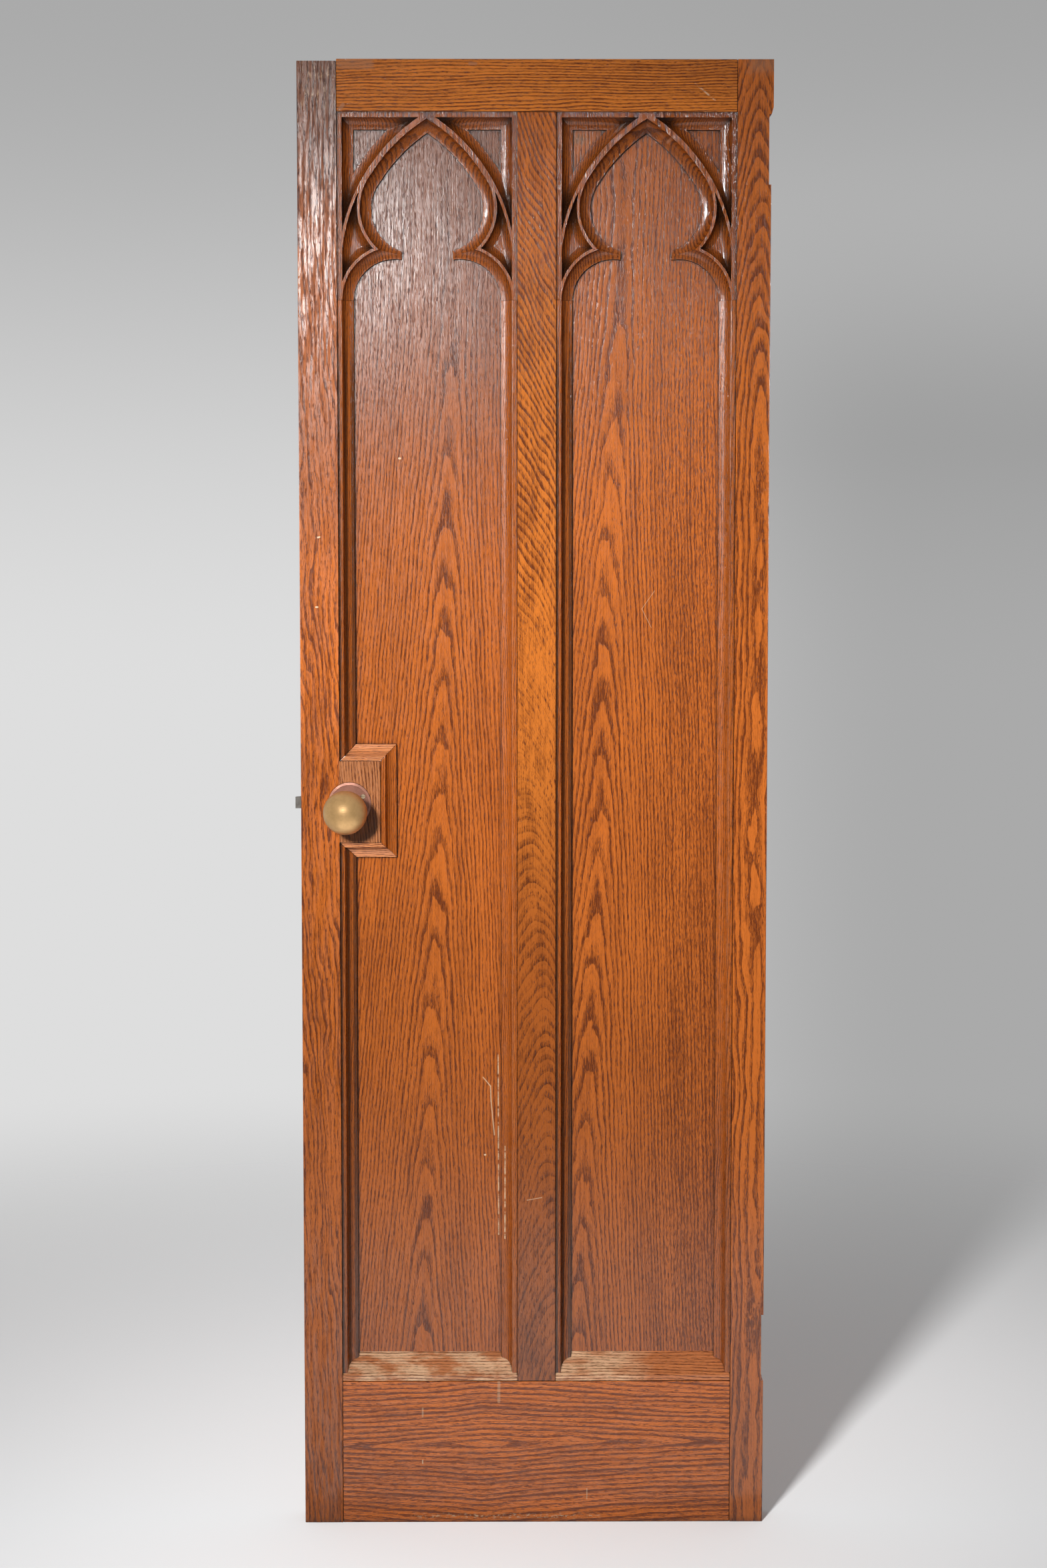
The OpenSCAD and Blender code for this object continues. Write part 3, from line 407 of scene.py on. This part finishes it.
def left_panel_marks(web):
    broken = broken_line(web, 70)
    yield web.mul(web.line((-48.4, 624.6), (-47.9, 383.6), 1.1), broken, 0.75), SCRATCH
    yield web.mul(web.line((-68.3, 594.7), (-58.6, 583.1), 1.0), 0.6), SCRATCH
    yield web.mul(web.line((-58.6, 583.1), (-57.8, 562.5), 1.0), 0.6), SCRATCH
    yield web.mul(web.line((-57.8, 562.5), (-53.5, 517.7), 1.0), 0.6), SCRATCH
    yield web.line((-66.2, 490.9), (-65.4, 490.9), 1.5), SCRATCH
    yield web.line((-176.4, 1408.2), (-175.2, 1408.2), 1.8), SCRATCH


def right_panel_marks(web):
    yield web.mul(web.line((155.9, 1236.5), (139.4, 1213.0), 0.6), 0.3), SCRATCH
    yield web.mul(web.line((139.4, 1213.0), (151.7, 1188.7), 0.6), 0.3), SCRATCH
    yield web.mul(web.patch((50, 1811), (66, 1822), 7), 0.5), GREY_DIRT


def carved_marks(web):
    yield web.mul(web.line((-106, 1650), (-101, 1655), 2.2), 0.8), SCRATCH
    yield web.mul(web.line((176, 1655), (181, 1661), 2.2), 0.8), SCRATCH
    yield web.mul(web.line((170, 1812), (177, 1818), 2.4), 0.6), RUBBED_AND_SHEEN


def muntin_moulding_marks(web):
    # Rubbed varnish and a painted sheen line along the arris
    yield worn_and_sheen_edge(web, -30.0, 1.4, 0.5), RUBBED_AND_SHEEN
    broken = broken_line(web, 90)
    yield web.mul(web.line((-39.4, 503.5), (-39.6, 380.0), 1.1), broken, 0.85), SCRATCH
    yield web.mul(web.patch((-57, 1390), (-53, 1403), 2), 0.8), OAK_BARE


def painted_shade_bands(start):
    """Painted shade: dark bands in the hollows of a moulding that faces away from the light, from its
    edge at start mm.
    """
    def marks(web):
        for low, high, depth in ((0.0, 3.2, 0.85), (8.5, 12.0, 0.75), (16.5, 21.5, 0.65)):
            near = web.rise(web.x, (start + low - 0.6) * MM, (start + low + 0.6) * MM)
            away = web.rise(web.x, (start + high + 0.9) * MM, (start + high - 0.9) * MM)
            yield web.mul(near, away, web.rise(web.z, 1.61, 1.5), depth), DIRT_AND_SHADE
    return marks


def strip_tone(level):
    """The carving's tone at the top of a straight moulding, its own further down."""
    def tone(web):
        return web.add(web.mul(web.rise(web.z, 1.61, 1.3), level - CARVED_TONE), CARVED_TONE)
    return tone


def worn_and_sheen_edge(web, place, half_width, share):
    """A pale streak along an upright arris at place mm: varnish rubbed off, and a painted sheen line."""
    off = web.math("ABSOLUTE", web.sub(web.x, place * MM))
    streak = web.noise(web.place(web.mul(web.x, 300), 0.0, web.mul(web.z, 26)), 4.0, 0.7)
    edge = web.rise(off, half_width * MM, 0.3 * half_width * MM)
    return web.mul(edge, web.rise(streak, 0.35, 0.6), share)


def hanging_moulding_marks(web):
    # Rubbed varnish and a painted sheen line along the arris
    yield worn_and_sheen_edge(web, 251.5, 1.4, 0.5), RUBBED_AND_SHEEN
    spots = web.noise(web.place(web.mul(web.x, 260), 0.0, web.mul(web.z, 90)), 4.0, 0.7)
    yield web.mul(web.rise(spots, 0.54, 0.64), 0.45), DIRT_AND_SHADE


# Bare wood, tone and colour that change over a piece; heights are in metres


def right_sill_bare(web, ragged):
    place = web.add(web.x, web.mul(web.sub(ragged, 0.5), 0.12))
    worn = web.add(web.mul(web.rise(ragged, 0.36, 0.54), 0.65), 0.35)
    return web.add(web.mul(web.rise(place, 0.17, 0.1), worn, 0.85), 0.15)


def left_sill_bare(web, ragged):
    return web.add(web.mul(web.rise(ragged, 0.36, 0.56), 0.75), 0.22)


def left_panel_tone(web):
    return web.sub(1.0, web.mul(web.rise(web.z, 1.3, 1.75), 0.55))


def lock_stile_tone(web):
    pale = web.mul(web.rise(web.z, 0.98, 1.1), web.rise(web.z, 1.4, 1.25), 0.25)
    return web.add(web.mul(web.rise(web.z, 1.62, 1.88), -0.55), pale, 1.0)


def muntin_tone(web):
    """Brighter towards the top, a trace less in the golden stretch."""
    glow = web.mul(web.rise(web.z, 0.72, 1.02), web.rise(web.z, 1.45, 1.2))
    return web.add(web.mul(web.rise(web.z, 0.75, 1.3), 0.38), web.mul(glow, -0.02), 0.74)


def muntin_light(web):
    glow = web.mul(web.rise(web.z, 0.72, 1.0), web.rise(web.z, 1.95, 1.55))
    return web.mix(web.mul(glow, 0.6), OAK_LIGHT, OAK_GOLD)


def muntin_calm(web):
    """Strong lines at the top, fewer below and nearly none between."""
    above = web.mul(web.rise(web.z, 1.16, 1.32), 0.95)
    below = web.mul(web.rise(web.z, 1.0, 0.9), 0.28)
    return web.add(above, below, 0.14)


def right_panel_tone(web):
    return web.add(web.mul(web.rise(web.z, 1.1, 1.4), web.rise(web.z, 1.72, 1.5), 0.2), 1.0)


def right_panel_dense(web):
    return web.rise(web.x, 0.12, 0.2)


def panel(name, heart, lean, level, **more):
    """A flat panel with one tall cathedral figure."""
    return oak(name, heart=heart, lean=lean, level=level, bend=8, taper=0.064, ring=4.5,
               wander=16, wave=1.4, **more)


def carving_wood(name, heart, **more):
    """A tracery head, with fine grain and hollows darkened by dirt and painted shade."""
    return oak(name, heart=heart, bend=120, taper=0.02, ring=1.7, contrast=1.5, dirt_and_shade=0.95,
               corner_from=0.04, corner_to=0.42, through=0.2, marks=carved_marks, **more)


def strip_wood(name, **more):
    """A straight moulding, with fine straight grain."""
    return oak(name, heart=300, bend=60, taper=0.02, ring=2.6, **more)


def sill_wood(name, **more):
    """A sloped sill whose varnish has weathered off."""
    return oak(name, along="x", heart=120, bend=30, taper=0.02, ring=4, dirt_and_shade=0.2, **more)


panel_left = panel("oak left panel", -158, 0.0333, 1.5, fade=1.5, seed=1, contrast=1.15, dull=0.12,
                   tone=left_panel_tone, marks=left_panel_marks)
panel_right = panel("oak right panel", 48, 0.037, 1.55, seed=2, contrast=1.2, dull=0.07,
                    dense=right_panel_dense, tone=right_panel_tone, marks=right_panel_marks)
stile_lock = oak("oak lock stile", heart=-345, bend=20, taper=0.06, ring=6.5, wander=70, wave=2.2,
                 seed=3, patchy=0.5, mottle=0.8, contrast=1.5, dull=0.3, wear_cells=(260, 260, 20),
                 tone=lock_stile_tone, marks=lock_stile_marks)
stile_hanging = oak("oak hanging stile", heart=286, bend=14, taper=0.22, ring=6.4, wander=40, wave=1.5,
                    flame=1.5, seed=4, contrast=1.25, gloss=0.12, dull=0.05, tone=1.2,
                    marks=hanging_stile_marks)
muntin_wood = oak("oak muntin", heart=62, lean=-0.089, bend=22, taper=0.38, ring=6.5, seed=5, width=0.5,
                  wander=60, wave=1.9, cells=(22, 22, 8), calm=muntin_calm, light=muntin_light,
                  gloss=0.12, dull=0.06, mottle=1.5, contrast=1.3, tone=muntin_tone, marks=muntin_marks)
rail_top = oak("oak top rail", along="x", heart=2050, bend=20, taper=0.02, ring=3.9, seed=6,
               contrast=1.1, light=OAK_GOLD, steady=0.4, gloss=0.1, dull=0.0, tone=1.22,
               marks=top_rail_marks)
rail_bottom = oak("oak bottom rail", along="x", heart=108, bend=4, taper=0.06, ring=7.0, mid=-70, seed=7,
                  wander=25, wave=0.8, contrast=1.9, tone=1.6, marks=bottom_rail_marks)
block_wood = oak("oak lock block", heart=-330, bend=20, taper=0.05, ring=3.4, seed=8, contrast=1.0,
                 light=OAK_PALE_SHEEN, tone=0.78)
carved = carving_wood("oak carving", -140, seed=9, tone=CARVED_TONE)
carved_right = carving_wood("oak right carving", 140, seed=17, tone=0.82, gloss=0.12, dull=0.04)
strip = strip_wood("oak moulding", seed=10, tone=0.9)
# Painted shade: the mouldings facing right, away from the key, are toned darker than those facing left
# and carry bands of painted shade
strip_lock_painted_shade = strip_wood("oak lock moulding with painted shade", seed=14, tone=strip_tone(0.75), marks=painted_shade_bands(-255))
strip_muntin_painted_shade = strip_wood("oak right muntin moulding with painted shade", seed=15, tone=strip_tone(0.78),
                        marks=painted_shade_bands(27))
strip_hanging = strip_wood("oak hanging moulding", seed=16, tone=strip_tone(0.9),
                           marks=hanging_moulding_marks)
strip_muntin = strip_wood("oak left muntin moulding", seed=10, tone=strip_tone(0.9),
                          marks=muntin_moulding_marks)
strip_level = strip_wood("oak level moulding", along="x", seed=11, light=OAK_PALE_SHEEN, tone=1.12)
sill_left = sill_wood("oak left sill", seed=12, bare=left_sill_bare, contrast=0.9, tone=1.26)
sill_right = sill_wood("oak right sill", seed=13, bare=right_sill_bare, contrast=0.95, tone=1.45)
brass = metal("aged brass", linear(206, 164, 110), linear(154, 118, 68), 0.36, spots=0.28, metallic=0.5)
bronze = metal("bronze", linear(182, 126, 106), linear(128, 84, 68), 0.34, spots=0.4, metallic=0.45)
screw_heads = metal("screw heads", linear(190, 170, 140), linear(120, 98, 74), 0.35, metallic=0.6)
steel = metal("latch steel", linear(122, 119, 114), linear(80, 74, 68), 0.45, metallic=0.5)
iron = metal("lock iron", linear(70, 62, 55), linear(48, 36, 28), 0.55)

LOOKS = {
    "lock_stile": stile_lock,
    "hanging_stile": stile_hanging,
    "top_rail": rail_top,
    "bottom_rail": rail_bottom,
    "muntin": muntin_wood,
    "left_panel": panel_left,
    "right_panel": panel_right,
    "lock_block": block_wood,
    "left_moulding_muntin": strip_muntin,
    "left_moulding_above_lock": strip_lock_painted_shade,
    "left_moulding_below_lock": strip_lock_painted_shade,
    "right_moulding_muntin": strip_muntin_painted_shade,
    "right_moulding_hanging": strip_hanging,
    "rosette_screws": screw_heads,
    "left_sill": sill_left,
    "right_sill": sill_right,
}
LEVEL = ("block_moulding_top", "block_moulding_bottom", "back_left_top", "back_left_bottom",
         "back_right_top", "back_right_bottom", "back_block_top", "back_block_bottom")
BY_SLOT = {"aged_brass": brass, "bronze": bronze, "latch_steel": steel, "lock_iron": iron}


def look_of(name, mesh_slot):
    """The material of a node, by its name and else by its slot."""
    if name in LOOKS:
        return LOOKS[name]
    if mesh_slot in BY_SLOT:
        return BY_SLOT[mesh_slot]
    if "tracery" in name:
        return carved if name.startswith("left") else carved_right
    return strip_level if name in LEVEL else strip


def soften(piece):
    """Rounds the arrises of a wooden piece, so that they catch the light."""
    weld = piece.modifiers.new("weld", "WELD")
    weld.merge_threshold = WELD_GAP
    bevel = piece.modifiers.new("bevel", "BEVEL")
    bevel.width = ARRIS
    bevel.segments = 2
    bevel.limit_method = "ANGLE"
    bevel.angle_limit = math.radians(ARRIS_ANGLE)
    bevel.use_clamp_overlap = True
    bevel.harden_normals = False
    even = piece.modifiers.new("even", "WEIGHTED_NORMAL")
    even.keep_sharp = True


for name, piece in nodes.items():
    old = piece.data.materials[0].name if piece.data.materials else ""
    piece.data.materials.clear()
    look = look_of(name, old)
    piece.data.materials.append(look)
    if look.name.startswith("oak"):
        soften(piece)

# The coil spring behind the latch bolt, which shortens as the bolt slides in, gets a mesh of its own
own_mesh(nodes["latch_spring"])

# Floor: a pale round sheet that fades out into the surround
PAPER = (0.74, 0.74, 0.745, 1)
PAPER_BOUNCE = (0.22, 0.22, 0.22, 1)
FLOOR_R = 3.4
FLOOR_SOLID_R = 0.7
FLOOR_GONE_R = 0.95 * FLOOR_R
FLOOR_SIDES = 96
rim = []
for step in range(FLOOR_SIDES):
    turn = 2 * math.pi * step / FLOOR_SIDES
    rim.append((FLOOR_R * math.cos(turn), FLOOR_R * math.sin(turn), 0.0))
mesh = bpy.data.meshes.new("studio")
mesh.from_pydata(rim, [], [range(FLOOR_SIDES)])
studio = bpy.data.objects.new("studio", mesh)
bpy.context.scene.collection.objects.link(studio)
paper_web = Web("paper")
light_path = paper_web.node("ShaderNodeLightPath")
paper_colour = paper_web.mix(light_path.outputs["Is Diffuse Ray"], PAPER, PAPER_BOUNCE)
paper_web.put(paper_web.shader.inputs["Base Color"], paper_colour)
paper_web.shader.inputs["Roughness"].default_value = 0.9
paper_web.shader.inputs["Specular IOR Level"].default_value = 0.1
reach = paper_web.add(paper_web.mul(paper_web.x, paper_web.x), paper_web.mul(paper_web.y, paper_web.y))
solid = paper_web.rise(paper_web.math("SQRT", reach), FLOOR_GONE_R, FLOOR_SOLID_R)
paper_web.put(paper_web.shader.inputs["Alpha"], solid)
mesh.materials.append(paper_web.material)

# Lamps: a key from the left, gloss for the varnish, and soft light for the back, the edges and the floor
KEY_AT = (-1.12, -3.8, 2.05)
KEY_SIZE = 0.4


def area_light(name, place, target, size, power, spread=180.0, only=None, rays="all"):
    """A round lamp; only lists the pieces that it lights, rays what it shows in."""
    data = bpy.data.lights.new(name, "AREA")
    data.shape = "DISK"
    data.size = size
    data.energy = power
    data.spread = math.radians(spread)
    light = bpy.data.objects.new(name, data)
    light.location = place
    light.rotation_euler = (Vector(target) - Vector(place)).to_track_quat("-Z", "Y").to_euler()
    light.visible_camera = False
    bpy.context.scene.collection.objects.link(light)
    if rays == "diffuse":
        light.visible_glossy = False
    if rays == "glossy":
        light.visible_diffuse = False
    if only:
        lit = bpy.data.collections.new(name)
        for piece in only:
            lit.objects.link(piece)
        light.light_linking.receiver_collection = lit


MATT = ("top_rail", "muntin", "hanging_stile")
carving = [piece for name, piece in nodes.items() if "tracery" in name or "moulding" in name]
satin = [piece for name, piece in nodes.items() if name not in MATT and piece not in carving]
behind = [piece for name, piece in nodes.items() if not name.startswith("front_")]
area_light("key", KEY_AT, target=(0.0, 0.0, 1.04), size=KEY_SIZE, power=8.2, spread=36,
           rays="diffuse")
area_light("key gloss", KEY_AT, target=(0.0, 0.0, 1.3), size=KEY_SIZE, power=1.7, spread=38,
           rays="glossy")
area_light("sheen", (-0.51, -3.8, 2.01), target=(-0.27, 0.0, 1.67), size=KEY_SIZE, power=2.6, spread=60,
           rays="glossy", only=satin)
area_light("glint", (-2.3, -3.1, 2.3), target=(0.0, 0.0, 1.6), size=0.5, power=18, spread=60,
           rays="glossy", only=carving)
area_light("overhead", (0.0, -1.0, 4.4), target=(0.0, -0.6, 0.0), size=4.5, power=4)
area_light("back key", (1.3, 3.9, 2.3), target=(0.0, 0.0, 1.0), size=1.0, power=6.5, spread=40,
           only=behind)
area_light("left edge", (-3.2, 0.8, 1.5), target=(-0.3, 0.0, 1.0), size=0.8, power=4, spread=60,
           only=behind)
area_light("right edge", (3.2, 0.8, 1.5), target=(0.3, 0.0, 1.0), size=0.8, power=4, spread=60,
           only=behind)
area_light("paper key", KEY_AT, target=(0.0, 1.0, 0.0), size=KEY_SIZE, power=40, spread=70,
           only=[studio])
area_light("paper top", (0.0, 0.0, 4.2), target=(0.0, 0.0, 0.0), size=5.0, power=46, only=[studio])
area_light("floor gloss", (0.0, -0.95, 0.01), target=(0.0, -0.95, 1.0), size=1.8, power=6.5,
           rays="glossy")

# Surround: pale behind the object, dimmer in front of it, with a painted shadow low on its right
PALE_LOW = 0.73
PALE_HIGH = 0.40
ROOM_SEEN = 0.2
ROOM_LIGHT = 0.05
PALE_LIGHT = 0.3
SIDE_SHADE = 0.45
REAR_RANGE = (-0.25, 0.25)
PALE_RANGE = (-0.06, 0.18)
SHADE_RANGE = (-0.06, 0.14)
SHADE_UP_RANGE = (0.02, 0.12)
SHADE_UP = 0.15
world = bpy.data.worlds.new("room")
world.use_nodes = True
tree = world.node_tree
background = tree.nodes["Background"]


def sky(kind, *values, **settings):
    """A node of the world, with its inputs in order; returns its outputs."""
    node = tree.nodes.new(kind)
    for key, value in settings.items():
        setattr(node, key, value)
    for socket, value in zip(node.inputs, values):
        if isinstance(value, bpy.types.NodeSocket):
            tree.links.new(value, socket)
        else:
            socket.default_value = value
    return node.outputs


def sky_rise(value, low, high, start, end):
    return sky("ShaderNodeMapRange", value, low, high, start, end, interpolation_type="SMOOTHSTEP")[0]


def sky_mix(share, a, b):
    return sky("ShaderNodeMapRange", share, 0.0, 1.0, a, b)[0]


directions = tree.nodes.new("ShaderNodeTexCoord").outputs["Generated"]
ray_x, ray_y, ray_z = sky("ShaderNodeSeparateXYZ", directions)
rays = tree.nodes.new("ShaderNodeLightPath").outputs
rear = sky_rise(ray_y, *REAR_RANGE, 0.0, 1.0)
pale = sky_rise(ray_z, *PALE_RANGE, PALE_LOW, PALE_HIGH)
# Painted shadow: the surround darkens to the right and low down, as if in the object's shadow
beside = sky_rise(ray_x, *SHADE_RANGE, 0.0, SIDE_SHADE)
below = sky_rise(ray_z, *SHADE_UP_RANGE, 1.0, SHADE_UP)
shade = sky("ShaderNodeMath", beside, below, operation="MULTIPLY")[0]
unshaded = sky("ShaderNodeMath", 1.0, shade, operation="SUBTRACT")[0]
pale = sky("ShaderNodeMath", pale, unshaded, operation="MULTIPLY")[0]
seen = sky("ShaderNodeMath", rays["Is Camera Ray"], rays["Is Glossy Ray"], operation="MAXIMUM")[0]
seen = sky("ShaderNodeMath", seen, rays["Is Transmission Ray"], operation="MAXIMUM")[0]
strength = sky_mix(seen, sky_mix(rear, ROOM_LIGHT, PALE_LIGHT), sky_mix(rear, ROOM_SEEN, pale))
background.inputs["Color"].default_value = (1, 1, 1, 1)
tree.links.new(strength, background.inputs["Strength"])
bpy.context.scene.world = world
bpy.context.scene.view_settings.view_transform = "Standard"

# Camera, fitted to the outline of the leaf
CAMERA_AT = (-0.0451, -3.9224, 1.3195)
CAMERA_TILT = 4.89
CAMERA_TURN = -0.44
lens = bpy.data.cameras.new("camera")
lens.sensor_width = 36
lens.lens = 68.97
camera = bpy.data.objects.new("camera", lens)
camera.location = CAMERA_AT
camera.rotation_euler = (math.radians(90 - CAMERA_TILT), 0.0, math.radians(CAMERA_TURN))
bpy.context.scene.collection.objects.link(camera)
bpy.context.scene.camera = camera
